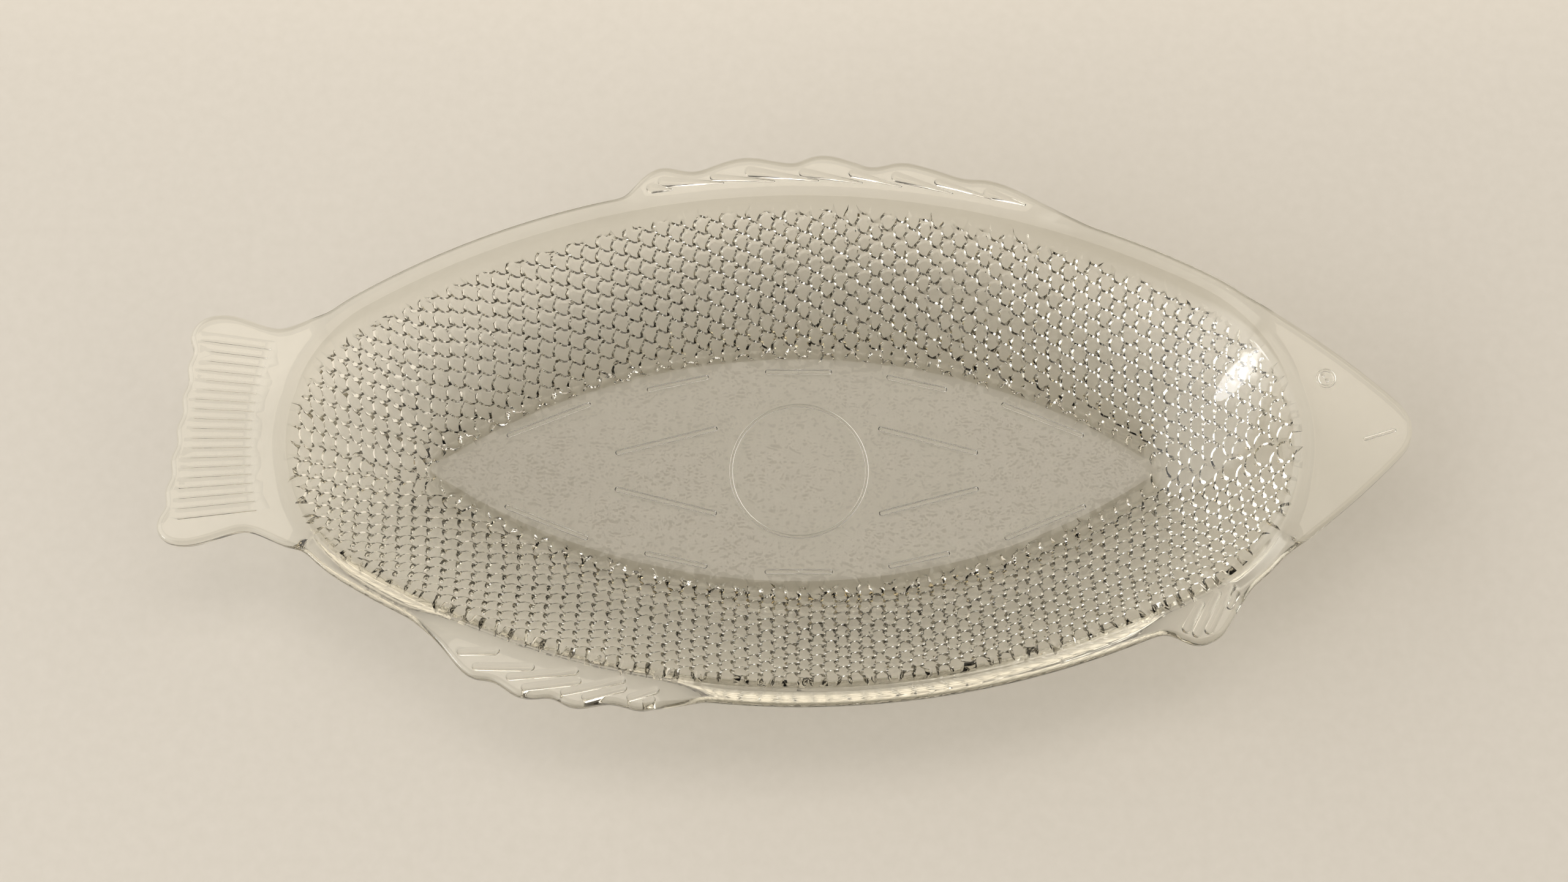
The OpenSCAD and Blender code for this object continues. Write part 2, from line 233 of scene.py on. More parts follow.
# %% [markdown]
# ## The outline of the fish
# Seen from above the outline is the rim's oval with the head, the tail and three fins grown out of it. A
# constrained Delaunay triangulation can join overlapping outlines: it is given all of them as faces, and
# the edges that only one of its triangles uses are the outline of them all. The fins and the tail come
# from the CAD nodes' own top faces. The outline is then cut into even steps, and its corners are eased as
# hot glass eases.

# %% Join the plates into one outline
nose_x = reach("head_plate")[1][0]
nose_r = 12
axis_lift = 2.6
head_root_x = opening_l[0] - opening_tip_r[0]
outline_step = 1.3
weld = 1e-5


def head_outline():
    """The body's two sides carried on to the blunt nose, lifted a little above the axis."""
    facing = np.linspace(-np.pi / 2, np.pi / 2, 360)
    side = oval(facing, rim_half_w, (nose_x, nose_x), (nose_r, nose_r))
    side = side[side[:, 0] > head_root_x]
    side[:, 1] += axis_lift * (side[:, 0] / nose_x) ** 2
    return side


def plate_triangles(node):
    """Triangles of a flat CAD plate's top face, in plan."""
    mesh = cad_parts[node].data
    mesh.calc_loop_triangles()
    place = np.array([vertex.co for vertex in mesh.vertices]) / MM
    faces = [place[list(face.vertices)] for face in mesh.loop_triangles]
    top = place[:, 2].max() - 0.01
    return [face[:, :2] - middle for face in faces if face[:, 2].min() > top]


def triangulate(points, edges=(), faces=()):
    """Triangles over points in plan, inside the given lines. Also tells which given point each corner was."""
    made = delaunay_2d_cdt([tuple(p) for p in points], edges, faces, 1, weld)
    came_from = [olds[0] if olds else -1 for olds in made[3]]
    return np.array([tuple(p) for p in made[0]], float), [tuple(face) for face in made[2]], came_from


def boundary_loop(triangles):
    """The corners of the one loop of edges that only one triangle uses."""
    used = {(face[i], face[(i + 1) % 3]) for face in triangles for i in range(3)}
    after = {a: b for a, b in used if (b, a) not in used}
    loop = [next(iter(after))]
    while after[loop[-1]] != loop[0]:
        loop.append(after[loop[-1]])
    return loop


plates = [opening(directions, rim_w), head_outline()]
for plate in ("tail_fin", "dorsal_fin", "anal_fin", "throat_fin"):
    plates += plate_triangles(plate)
first = np.cumsum([0] + [len(plate) for plate in plates])
plate_faces = [list(range(first[i], first[i + 1])) for i in range(len(plates))]
joined, joined_faces, _ = triangulate(np.concatenate(plates), (), plate_faces)
rough = joined[boundary_loop(joined_faces)]


def even_loop(loop, step):
    """A closed line cut into even steps."""
    closed = np.concatenate([loop, loop[:1]])
    way = np.concatenate([[0], np.cumsum(np.linalg.norm(np.diff(closed, axis=0), axis=1))])
    places = np.linspace(0, way[-1], int(way[-1] / step), endpoint=False)
    return np.stack([np.interp(places, way, closed[:, axis]) for axis in (0, 1)], axis=1)


def soften(values, passes):
    """Evens out values along a closed line."""
    for _ in range(passes):
        values = (np.roll(values, 1, axis=0) + 2 * values + np.roll(values, -1, axis=0)) / 4
    return values


outline = even_loop(soften(even_loop(rough, outline_step), 4), outline_step)
along_edge = unit(np.roll(outline, -1, axis=0) - np.roll(outline, 1, axis=0))
inward = np.stack([-along_edge[:, 1], along_edge[:, 0]], axis=1)


def plan_tree(plan, numbers):
    """A search tree over the numbered points in plan."""
    tree = kdtree.KDTree(len(plan))
    for i in numbers:
        tree.insert((*plan[i], 0), i)
    tree.balance()
    return tree


def gaps_to(tree, plan):
    """Distance of points in plan from the nearest point of a search tree."""
    return np.array([tree.find((*place, 0))[2] for place in plan])


def edge_gap(plan):
    """Distance of points in plan from the fish's outline."""
    return gaps_to(edge_tree, plan)


def in_outline(plan):
    """Whether points in plan lie inside: a line to the right crosses the outline an odd number of times."""
    x, y = plan[:, 0, None], plan[:, 1, None]
    a, b = outline, np.roll(outline, -1, axis=0)
    level = (a[:, 1] > y) != (b[:, 1] > y)
    climb = np.where(b[:, 1] == a[:, 1], 1, b[:, 1] - a[:, 1])
    cross_x = a[:, 0] + (b[:, 0] - a[:, 0]) * (y - a[:, 1]) / climb
    return (level & (x < cross_x)).sum(axis=1) % 2 == 1


edge_tree = plan_tree(outline, range(len(outline)))

# 1 round the opening where the head, the tail or a fin goes on outside the rim, and 0 where the rim is plain
plate_shares = soften(in_outline(opening(directions, rim_w + 2.5)).astype(float), 12)
plate_shares = np.append(plate_shares, plate_shares[0])


def plate_at(rounds):
    return np.interp(rounds % len(directions), np.arange(len(plate_shares)), plate_shares)


def under_base(plan):
    """Height of the plain underside, without relief."""
    shares, rounds = wall_place(plan)
    return outside_height(shares * wall_run, plate_at(rounds))


print(f"outline of {len(outline)} points, {np.ptp(outline[:, 0]):.1f} x {np.ptp(outline[:, 1]):.1f}")

# %% [markdown]
# ## Building up one mesh
# The mesh is a top sheet, an underside sheet and a rounded edge between them. Each point carries the true
# normal of the surface it stands for. That keeps level glass level and small relief round even with few
# triangles, which matters more in glass than in any other material, because every ray bends by the
# normal.

# %% Collect points, normals and faces
mesh_points, mesh_normals, mesh_faces = [], [], []


def add_points(plan, height, normal):
    """Adds points and returns the numbers they got in the mesh."""
    start = sum(len(part) for part in mesh_points)
    height = np.broadcast_to(height, len(plan))
    mesh_points.append(np.column_stack([plan, height]))
    normal = np.broadcast_to(normal, (len(plan), 3))
    mesh_normals.append(unit(normal))
    return np.arange(start, start + len(plan))


def points_of(numbers):
    return np.concatenate(mesh_points)[numbers]


def join_rings(lower, upper):
    """Quads between two closed rings of point numbers, seen from outside."""
    rows = zip(lower, np.roll(lower, -1), np.roll(upper, -1), upper)
    mesh_faces.extend(tuple(int(corner) for corner in quad) for quad in rows)


# %% [markdown]
# ## The edge of the rim, head, tail and fins
# The mould closes on the edge of the glass, and fire polishing rounds it. The top edge gets the larger
# radius, which shows as a dark band with a bright line round the dish. Where the outline turns sharply,
# at the tips of the fins, the radius has to be smaller than the turn, or the rings of points would cross
# each other.

# %% Round the outer edge
edge_plate = plate_at(wall_place(outline)[1])
room = np.full(len(outline), 2.1)
for radius in np.linspace(2.1, 0.9, 5):
    crowded = edge_gap(outline + inward * radius) < 0.98 * radius
    room[crowded] = np.minimum(room[crowded], 0.75 * radius)
for _ in range(3):
    room = np.minimum(room, np.minimum(np.roll(room, 1), np.roll(room, -1)))
low_edge_r = 1.5
low_r = soften(np.minimum(0.8 + (low_edge_r - 0.8) * edge_plate, room), 6)
top_r = soften(np.minimum(1.4 + 0.7 * edge_plate, room), 6)


def edge_ring(radius, turn, centre_z):
    """A ring on the rounded edge, where its surface is tipped up by the angles in turn."""
    plan = outline + inward * (radius * (1 - np.cos(turn)))[:, None]
    normal = np.column_stack([-inward * np.cos(turn)[:, None], np.sin(turn)])
    return add_points(plan, centre_z + radius * np.sin(turn), normal)


full = np.ones(len(outline))
lowest = np.pi / 2 * full - rim_under_slope * (1 - edge_plate)
low_plan = outline + inward * (low_r * (1 - np.cos(lowest)))[:, None]
low_z = np.minimum(under_base(low_plan) + low_r * np.sin(lowest), dish_h - top_r - 0.05)
edge_rings = [edge_ring(low_r, -lowest * part, low_z) for part in (1, 0.66, 0.33, 0)]
for turn in np.radians([0, 18, 36, 54, 72, 90]):
    edge_rings.append(edge_ring(top_r, turn * full, dish_h - top_r))
for lower, upper in zip(edge_rings, edge_rings[1:]):
    join_rings(lower, upper)
print("edge quads:", len(mesh_faces), "smallest top radius:", top_r.min().round(2))

# %% [markdown]
# ## The smooth inside
# The plunger's side of the glass is plain: level plates outside the opening, a crease where the lip
# begins, and rings of quads down the lip and the wall. The rings stop a little way onto the floor, and
# triangles fill it.

# %% Lay the rings of the lip and the wall
ring_count = 320
fine = np.linspace(0, 2 * np.pi, 14401)
fine_way = np.linalg.norm(np.diff(opening(fine), axis=0), axis=1)
fine_way = np.concatenate([[0], np.cumsum(fine_way)])


def even_facing(count):
    """Facings of points that lie at even steps round the opening."""
    return np.interp(np.arange(count) / count * fine_way[-1], fine_way, fine)


facing = even_facing(ring_count)
ring_outward = headings(facing)
ring_run = ((opening(facing) - floor_edge(facing)) * ring_outward).sum(axis=1)


def wall_ring(d):
    """A ring of the smooth inside, at a distance in from the opening's edge."""
    plan = down_wall(facing, d)
    fall = (inside_height(d + 0.05) - inside_height(d - 0.05)) / 0.1 * wall_run / ring_run
    fall = fall if d > 0 else 0 * fall
    normal = np.column_stack([ring_outward * fall[:, None], np.ones(ring_count)])
    return add_points(plan, inside_height(d) if d > 0 else dish_h, normal)


lip_places = [0, 0.25, 0.9, 1.7, 2.5, 3.3, 4.1]
wall_places = np.linspace(lip_run, wall_run, 19)[1:]
floor_places = wall_run + np.array([1.2, 2.4, 3.6])
wall_rings = [wall_ring(d) for d in (*lip_places, *wall_places, *floor_places)]
for outer, inner in zip(wall_rings, wall_rings[1:]):
    join_rings(outer, inner)
print("rings inside:", len(wall_rings))

# %% [markdown]
# The level plates and the floor are filled with triangles. The filler takes closed lines of point numbers
# that are in the mesh already, with loose points between them, and adds the triangles that it is told to
# keep.

# %% Fill the level parts of the top
def loop_edges(start, count):
    return [(start + i, start + (i + 1) % count) for i in range(count)]


def spread(pitch, jitter, half_x, half_y):
    """Points spread over a rectangle in an even, slightly shaken honeycomb."""
    rows = np.arange(-half_y, half_y, pitch * math.sqrt(3) / 2)
    columns = np.arange(-half_x, half_x, pitch)
    x, y = np.meshgrid(columns, rows)
    x = x + pitch / 2 * (np.arange(len(rows)) % 2)[:, None]
    shaken = rng.uniform(-jitter, jitter, (x.size, 2))
    return np.stack([x.ravel(), y.ravel()], axis=1) + shaken


def fill_level(loops, loose, height, keep):
    """Fills the space between closed lines of existing points with level triangles."""
    numbers = np.concatenate(loops)
    plan = np.concatenate([points_of(numbers)[:, :2], loose])
    starts = np.cumsum([0] + [len(loop) for loop in loops])
    edges = [edge for i, loop in enumerate(loops) for edge in loop_edges(int(starts[i]), len(loop))]
    made, triangles, came_from = triangulate(plan, edges)
    old = [0 <= source < len(numbers) for source in came_from]
    new = [i for i in range(len(made)) if not old[i]]
    name = {i: int(numbers[came_from[i]]) for i in range(len(made)) if old[i]}
    name.update(zip(new, add_points(made[new], height, (0, 0, 1)).tolist()))
    kept = keep(made[np.array(triangles)].mean(axis=1))
    mesh_faces.extend(tuple(name[corner] for corner in face) for face, use in zip(triangles, kept) if use)
    return len(made) - len(plan)


half_x = np.abs(outline[:, 0]).max()
half_y = np.abs(outline[:, 1]).max()
loose = spread(6, 0.6, half_x, half_y)
loose = loose[in_outline(loose)]
loose_d = share_in(loose) * wall_run
on_plates = loose[(loose_d < -2.5) & (edge_gap(loose) > 4)]
on_floor = loose[loose_d > floor_places[-1] + 3]
crossings = fill_level([edge_rings[-1], wall_rings[0]], on_plates, dish_h, lambda p: share_in(p) < 0)
crossings += fill_level([wall_rings[-1]], on_floor, floor_top, lambda p: share_in(p) > 1)
print("faces with the top sheet:", len(mesh_faces), "crossings:", crossings)

# %% [markdown]
# ## Bars, rays and rings
# Everything the mould leaves under the level parts is a raised bar: the foot bars that the dish stands
# on, the wedge shaped rays of the back fin, the feathered rays of the belly fin, the flutes of the throat
# fin, the mouth and the dots of the eye. A bar runs between two places with a half width at each, and its
# height rises from its edge over a bevel. A bevel as wide as the bar makes it a rounded flute. Places are
# shares of the region's size.

# %% List the raised bars
bars = []


def add_bar(start, end, half_ws, height, bevel):
    """Notes a bar, and first draws its ends back from the dish's rounded edge."""
    ends = [np.array(start, float), np.array(end, float)]
    for i in (0, 1):
        pull = ends[1 - i] - ends[i]
        for _ in range(12):
            if edge_gap([ends[i]])[0] < half_ws[i] + low_edge_r + 0.8:
                ends[i] = ends[i] + pull * 0.04
    room_w = [gap - low_edge_r - 0.4 for gap in edge_gap(ends)]
    if min(room_w) > 0.3:
        bars.append((*ends, min(half_ws[0], room_w[0]), min(half_ws[1], room_w[1]), height, bevel))


rib_half_w = 0.9
rib_shares = [
    ((0.26, 0.85), (0.42, 0.74)),
    ((0.59, 0.6), (0.81, 0.325)),
    ((0.235, 0.38), (0.505, 0.165)),
    ((0, 0.9), (0.088, 0.9)),
]
for length, end in ((floor_l[0], 1), (floor_l[1], -1)):
    for side in (-1, 1):
        for places in rib_shares:
            a, b = ((end * length * x, side * floor_half_w * y) for x, y in places)
            add_bar(a, b, (rib_half_w, rib_half_w), floor_bottom, 0.45)


def rim_y(x):
    """Half width of the rim at a distance along the fish."""
    edge = opening(np.linspace(0, np.pi, 721), rim_w)
    return np.interp(x, edge[::-1, 0], edge[::-1, 1])


def fin_place(node, side, height, place_share):
    """A place on a fin: a share of its length, and a share of its height out from the rim."""
    low, high = corners(node)
    x = low[0] - middle[0] + (high[0] - low[0]) * place_share[0]
    return x, side * (rim_y(x) + height * place_share[1])


ray_h = 0.7

# Side of the fish, height, half widths of a ray at tip and root, bevel, and the places of tips and roots
fin_rays = {
    "dorsal_fin": (1, 9.2, (1.9, 0.4), 1.9, [
        ((0.04, 0.30), (0.10, 0.08)),
        ((0.04, 0.55), (0.21, 0.12)),
        ((0.07, 0.75), (0.32, 0.08)),
        ((0.20, 0.72), (0.415, 0.09)),
        ((0.27, 0.78), (0.51, 0.08)),
        ((0.395, 0.80), (0.595, 0.07)),
        ((0.54, 0.58), (0.705, 0.08)),
        ((0.57, 0.74), (0.79, 0.16)),
        ((0.71, 0.50), (0.865, 0.20)),
        ((0.76, 0.70), (0.875, 0.40)),
    ]),
    "anal_fin": (-1, 10.9, (1.3, 1.5), 1.4, [
        ((0.15, 0.36), (0.29, -0.14)),
        ((0.19, 0.64), (0.41, 0.0)),
        ((0.30, 0.62), (0.56, -0.25)),
        ((0.37, 0.72), (0.57, 0.02)),
        ((0.49, 0.58), (0.72, -0.30)),
        ((0.55, 0.62), (0.725, -0.08)),
        ((0.72, 0.28), (0.835, -0.18)),
        ((0.77, 0.34), (0.84, 0.04)),
    ]),
    "throat_fin": (-1, 9.8, (1.6, 1.5), 1.5, [
        ((0.28, 0.16), (0.45, -0.45)),
        ((0.39, 0.45), (0.64, -0.50)),
        ((0.50, 0.62), (0.79, -0.48)),
        ((0.63, 0.62), (0.90, -0.38)),
    ]),
}
for node, (side, fin_h, half_ws, bevel, ray_places) in fin_rays.items():
    for ends in ray_places:
        a, b = (fin_place(node, side, fin_h, share) for share in ends)
        add_bar(a, b, half_ws, ray_h, bevel)

mark_h = 0.5
mouth_l, mouth_tilt = 10, math.radians(17)
mouth = np.array([nose_x - 5.5, axis_lift])
mouth_back = mouth - mouth_l * np.array([math.cos(mouth_tilt), math.sin(mouth_tilt)])
add_bar(mouth, mouth_back, (0.6, 0.6), mark_h, 0.5)
eye = sum(corners("eye_ring"))[:2] / 2 - middle
eye_r = reach("eye_ring")[0]
for dot in ((-0.28, 0.3), (0.1, -0.2)):
    add_bar(eye + eye_r * np.array(dot), eye + eye_r * np.array(dot), (0.7, 0.7), mark_h, 0.6)
base_r = reach("base_ring")[0]
rings = [
    (eye, eye_r - 0.45, 0.5, mark_h, 0.4),
    (np.zeros(2), base_r - 0.5, 0.6, floor_bottom - ring_bottom, 0.45),
]
print(len(bars), "bars and", len(rings), "rings")

# %% [markdown]
# ## The fluted tail
# Nineteen flat topped flutes fan out over the tail, with narrow valleys between them. They all end on one
# arc that follows the rim, with a plain band before it. A place on the tail is turned into a flute number
# by undoing the fan. A high power of the place across a flute keeps its top flat and its valleys narrow.

# %% Describe the tail's flutes
flute_count = 19
flute_top_y, flute_low_y = 32.5, -24.0
flute_h, flute_power = 0.32, 6
neck_x, neck_bend = -175.4, 0.0055
fan_x, fan_spread = -197.0, 0.12
flute_w = (flute_top_y - flute_low_y) / flute_count


def flute_line(y_root, offset=0.0):
    """A line down the fan, which starts on the arc at the neck."""
    y = y_root + offset
    x_root = neck_x + neck_bend * y * y
    x = [x_root + 0.35, x_root - 0.35] + np.linspace(x_root - 3, fan_x, 7).tolist()
    share = (np.array(x) - x_root) / (fan_x - x_root)
    line = np.column_stack([x, y * (1 + fan_spread * share)])
    return line[edge_gap(line) > low_edge_r + 0.7]


def flute_relief(plan):
    """How far the flutes stand out under the tail."""
    y = plan[:, 1]
    for _ in range(3):
        x_root = neck_x + neck_bend * y * y
        y = plan[:, 1] / (1 + fan_spread * (plan[:, 0] - x_root) / (fan_x - x_root))
    number = (y - flute_low_y) / flute_w
    across = 2 * (number % 1) - 1
    on_tail = plan[:, 0] < neck_x + neck_bend * flute_top_y**2 + 1
    on_fan = on_tail & (number > 0) & (number < flute_count) & (plan[:, 0] < x_root + 0.35)
    step = np.clip((x_root + 0.35 - plan[:, 0]) / 0.7, 0, 1)
    height = np.where(on_fan, flute_h * (1 - across**flute_power) * step, 0)
    near = np.flatnonzero(height > 0)
    height[near] *= np.clip((edge_gap(plan[near]) - low_edge_r - 0.6) / 1.4, 0, 1)
    return height


flute_roots = flute_low_y + flute_w * np.arange(flute_count + 1)
print(f"{flute_count} flutes, {flute_w:.2f} wide at the neck")

# %% [markdown]
# ## The scales
# The scales are a net of fine raised lines on the outside of the wall. Each scale is an arc that bulges
# towards the tail, and its two ends meet the tips of the arcs in the next column, like tiles. On the real
# dish the mould maker cut them by eye, so the columns drift in and out of step. The net is laid out flat
# first, on the unrolled wall, so that scales keep their size on the steep part. Then each point is
# brought back to its place in plan by trial: guess, unroll, and move by what is missing.

# %% Unroll the wall
grid_step = 1.0
grid_x = np.arange(-opening_l[1] - 3, opening_l[0] + 3, grid_step)
grid_y = np.arange(-opening_half_w - 3, opening_half_w + 3, grid_step)
plan_x, plan_y = np.meshgrid(grid_x, grid_y, indexing="ij")
grid_d = share_in(np.stack([plan_x.ravel(), plan_y.ravel()], axis=1)).reshape(plan_x.shape) * wall_run
slope_x, slope_y = np.gradient(outside_height(grid_d, 0), grid_step)
unrolled_x = np.cumsum(np.sqrt(1 + slope_x**2), axis=0) * grid_step
unrolled_y = np.cumsum(np.sqrt(1 + slope_y**2), axis=1) * grid_step
unrolled_x -= unrolled_x[len(grid_x) // 2][None, :]
unrolled_y -= unrolled_y[:, len(grid_y) // 2][:, None]


def read_grid(grid, plan):
    """Reads a grid of values at places in plan, with straight steps between grid points."""
    u = np.clip((plan[:, 0] - grid_x[0]) / grid_step, 0, len(grid_x) - 1.001)
    v = np.clip((plan[:, 1] - grid_y[0]) / grid_step, 0, len(grid_y) - 1.001)
    i, j = u.astype(int), v.astype(int)
    u, v = u - i, v - j
    low = grid[i, j] * (1 - u) + grid[i + 1, j] * u
    return low * (1 - v) + (grid[i, j + 1] * (1 - u) + grid[i + 1, j + 1] * u) * v


def to_plan(unrolled):
    """Places in plan of points given on the unrolled wall."""
    plan = unrolled * 0.85
    for _ in range(40):
        missing_x = unrolled[:, 0] - read_grid(unrolled_x, plan)
        missing_y = unrolled[:, 1] - read_grid(unrolled_y, plan)
        plan = plan + 0.7 * np.stack([missing_x, missing_y], axis=1)
    return plan


print("unrolled reach:", unrolled_x.max().round(1), "x", unrolled_y.max().round(1))

# %% [markdown]
# The lattice turns slowly along the fish. Near the tail the columns are in step, so the net looks like a
# ladder. Towards the head each column slips further against the one before, until the cells are a
# honeycomb. Both sides of the fish mirror each other. A little seeded chance moves every scale, as the
# mould was cut by hand.

# %% Place the scales
place_x = [-185, -130, -75, -5, 30, 60, 120, 185]
column_gaps = [5.0, 5.2, 5.1, 4.1, 4.0, 4.0, 4.5, 4.6]
row_gaps = [5.3, 5.3, 5.6, 6.5, 6.8, 7.0, 6.4, 6.2]
slip_shares = [0.0, 0.02, 0.27, 0.41, 0.47, 0.54, 0.5, 0.45]
wall_middle = 62
shake = 0.24

columns, slips = [-185.0], [0.0]
while columns[-1] < 185:
    slips.append(slips[-1] + np.interp(columns[-1], place_x, slip_shares))
    columns.append(columns[-1] + np.interp(columns[-1], place_x, column_gaps))
seeds = []
for side, nearest in ((1, 0.9), (-1, 2.7)):
    for x, slip in zip(columns, slips):
        y = wall_middle + (np.arange(-16, 9) - slip % 1) * np.interp(x, place_x, row_gaps)
        y = y[(y > nearest) & (y < 112)]
        seeds.append(np.column_stack([np.full(len(y), x), side * y]))
seeds = np.concatenate(seeds)
seeds += rng.normal(0, shake, seeds.shape)
print(len(seeds), "scales on the unrolled wall")

# %% [markdown]
# The raised lines run half way between neighbouring scales. A Delaunay triangulation joins neighbours,
# and the centres of the circles round its triangles are the corners of the cells. Each side of a cell is
# then bent a little towards the tail and the floor, which makes it the edge of a scale.

# %% Draw the border of every scale
line_step = 1.35
bulge = 0.22
merge_gap, widest_scale = 0.5, 14
made = delaunay_2d_cdt([tuple(seed) for seed in seeds], [], [], 0, weld)
from_seed = [olds[0] for olds in made[3]]
a, b, c = (seeds[[from_seed[face[i]] for face in made[2]]] for i in range(3))
ab, ac = b - a, c - a
double_area = 2 * (ab[:, 0] * ac[:, 1] - ab[:, 1] * ac[:, 0])
ab2, ac2 = (ab**2).sum(axis=1), (ac**2).sum(axis=1)
hub_x = a[:, 0] + (ac[:, 1] * ab2 - ab[:, 1] * ac2) / double_area
hub_y = a[:, 1] + (ab[:, 0] * ac2 - ac[:, 0] * ab2) / double_area
hubs = np.stack([hub_x, hub_y], axis=1)
fans = {}
for number, face in enumerate(made[2]):
    for i in range(3):
        fans.setdefault(face[i], {})[face[(i + 1) % 3]] = (face[(i + 2) % 3], number)


# Hubs that nearly touch become one corner
corner_of = np.arange(len(hubs))
beside = {}
for number, face in enumerate(made[2]):
    for i in range(3):
        beside.setdefault(frozenset((face[i], face[(i + 1) % 3])), []).append(number)
for pair in beside.values():
    if len(pair) == 2 and np.linalg.norm(hubs[pair[0]] - hubs[pair[1]]) < merge_gap:
        corner_of[corner_of == corner_of[pair[1]]] = corner_of[pair[0]]
crest = list(hubs)
sides = {}


def scale_side(start, stop):
    """Numbers of the crest points from one corner up to the next, drawn once for both scales beside it."""
    if (start, stop) not in sides:
        way = hubs[stop] - hubs[start]
        sag = np.array([-way[1], way[0]]) * bulge
        lean = np.array([-1.0, -0.7 * np.sign(hubs[start][1] + hubs[stop][1])])
        sag = sag if sag @ lean > 0 else -sag
        share = np.linspace(0, 1, max(2, round(np.linalg.norm(way) / line_step)) + 1)[1:-1, None]
        inner = list(range(len(crest), len(crest) + len(share)))
        crest.extend(hubs[start] + way * share + sag * 4 * share * (1 - share))
        sides[start, stop] = [start] + inner
        sides[stop, start] = [stop] + inner[::-1]
    return sides[start, stop]


def scale_border(fan):
    """Numbers of the crest points round a scale, through the corners round its middle."""
    first = here = next(iter(fan))
    ring = []
    while here in fan:
        here, number = fan[here]
        ring.append(int(corner_of[number]))
        if here == first:
            break
    if here != first or np.ptp(hubs[ring], axis=0).max() > widest_scale:
        return []
    pairs = zip(ring, ring[1:] + ring[:1])
    return [number for start, stop in pairs if start != stop for number in scale_side(start, stop)]


borders = {from_seed[middle_point]: scale_border(fan) for middle_point, fan in fans.items()}
borders = {seed: border for seed, border in borders.items() if len(border) > 5}
crest = np.array(crest)
print(len(borders), "scales with a border,", len(crest), "crest points")

# %% [markdown]
# The mould maker cut the borders with a pointed graver, so each raised line is a small roof with a sharp
# crest. Such a roof bends light like a prism and shows the bright and dark sides of the room, so the net
# stands out from the smooth glass. Inside its border every scale gets a closed line of points on the foot
# of the roof. The face of a scale also tips a little, so that its free edge stands proud like a tile's.

# %% Draw the feet of the raised lines
scale_h, scale_half_w = 0.8, 0.85
scale_tip = 0.08
net_foot_d = wall_run - 0.6
net_top_plain_d, net_top_plate_d = 2.0, 1.0


def inset(border, gap):
    """A line at an even gap inside a closed border."""
    side = np.roll(border, -1, axis=0) - border
    left = unit(np.stack([-side[:, 1], side[:, 0]], axis=1))
    before = np.roll(left, 1, axis=0)
    way_in = (left + before) / (1 + (left * before).sum(axis=1))[:, None]
    line = border + gap * way_in
    off = line[:, None] - border[None]
    share = np.clip((off * side).sum(axis=2) / (side**2).sum(axis=1), 0, 1)
    clear = np.linalg.norm(off - share[..., None] * side, axis=2).min(axis=1) > 0.95 * gap
    return line[clear]


feet, foot_seed, net_edges = [], [], []
count = len(crest)
for seed, border in borders.items():
    net_edges += zip(border, border[1:] + border[:1])
    line = inset(crest[border], scale_half_w * rng.uniform(0.92, 1.08))
    if len(line) > 4:
        feet.append(line)
        foot_seed += [seed] * len(line)
        net_edges += [(count + i, count + (i + 1) % len(line)) for i in range(len(line))]
        count += len(line)
net_line = np.concatenate([crest] + feet)
net_seed = np.concatenate([crest, seeds[foot_seed]])
is_crest = np.arange(len(net_line)) < len(crest)
net_scale = np.concatenate([np.full(len(crest), -1), foot_seed])
net_plan = to_plan(net_line)
net_share, net_round = wall_place(net_plan)
net_d = net_share * wall_run


def net_fade(d, rounds):
    """1 where the scales stand out fully, fading to 0 at the floor and under the rim."""
    top_d = net_top_plain_d + (net_top_plate_d - net_top_plain_d) * plate_at(rounds)
    return np.clip((d - top_d) / 1.2, 0, 1) * np.clip((net_foot_d - d) / 1.2, 0, 1)


net_kept = net_fade(net_d, net_round) > 0
in_use = np.zeros(len(net_line), bool)
in_use[np.array(net_edges).ravel()] = True
net_kept &= in_use
net_edges = {tuple(sorted(edge)) for edge in net_edges if net_kept[edge[0]] and net_kept[edge[1]]}
print(net_kept.sum(), "points and", len(net_edges), "edges on the raised lines")

# %% [markdown]
# The corner at the foot of the wall has to stay sharp. So every line of the net gets a point just before
# and just after the corner, and a row of loose points follows the corner across the faces of the scales.

# %% Keep the foot's corner sharp
corner_ds = (outside_run - 0.2, outside_run + 0.2)
extra_plan, extra_from, split_edges = [], [], []
for i, j in sorted(net_edges):
    cuts = [(c - net_d[i]) / (net_d[j] - net_d[i]) for c in corner_ds if (net_d[i] - c) * (net_d[j] - c) < 0]
    chain = [i]
    for cut in sorted(cuts):
        extra_plan.append(net_plan[i] + (net_plan[j] - net_plan[i]) * cut)
        extra_from.append(i)
        chain.append(len(net_plan) + len(extra_plan) - 1)
    chain.append(j)
    split_edges += zip(chain, chain[1:])
net_plan = np.concatenate([net_plan, extra_plan])
net_seed, is_crest, net_scale = (
    np.concatenate([part, part[extra_from]]) for part in (net_seed, is_crest, net_scale)
)
net_kept = np.concatenate([net_kept, np.ones(len(extra_plan), bool)])
net_tree = plan_tree(net_plan, np.flatnonzero(net_kept))

corner_points = []
for d in corner_ds:
    row = down_wall(even_facing(900), d)
    corner_points += list(row[gaps_to(net_tree, row) > 0.7])
print(len(extra_plan), "points on lines at the corner,", len(corner_points), "between them")

# %% [markdown]
# ## The underside
# All lines of the relief go into one triangulation inside the innermost ring of the edge, so triangles
# never cross a crease. Between the bars the floor is stippled: the mould was hammered all over with a
# fine punch, which gives the glass there its grain. Each stipple point is set a little higher or lower
# than its neighbours.

# %% Lay out the underside
stipple_pitch, stipple_h = 0.72, 0.11
lines = []


